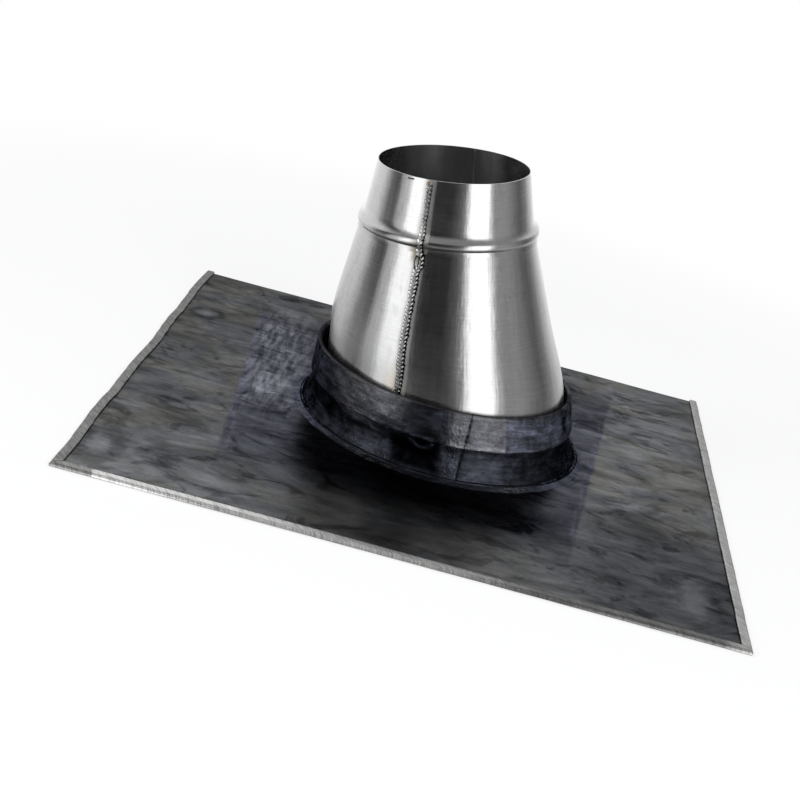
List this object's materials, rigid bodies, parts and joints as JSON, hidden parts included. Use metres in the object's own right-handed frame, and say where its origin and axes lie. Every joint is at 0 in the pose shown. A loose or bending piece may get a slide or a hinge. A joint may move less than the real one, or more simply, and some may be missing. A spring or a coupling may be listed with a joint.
{
  "type": "pipe flashing boot",
  "caption": "Weathering boot for a vent pipe through a pitched roof: stainless steel cone and beaded neck standing in a lead collar burned to a square lead plate with folded edges.",
  "frame": {"origin": "centre of the square plate's underside, on the roof", "axes": "+Z out of the roof, +X down the slope (the neck leans to -X), -Y the front with the welded seam"},
  "size_m": [0.5, 0.5, 0.2297],
  "materials": {
    "sheet_lead": "dull patinated sheet lead",
    "burned_lead": "melted and scraped lead",
    "stainless": "fine brushed, bright",
    "weld": "rippled weld bead, heat tinted"
  },
  "bodies": {
    "root": {"lead_plate": "sheet_lead", "lead_collar": "sheet_lead", "collar_burn": "burned_lead", "joint_burn": "burned_lead", "cone": "stainless", "spigot": "stainless", "seam_weld": "weld"}
  },
  "joints": []
}
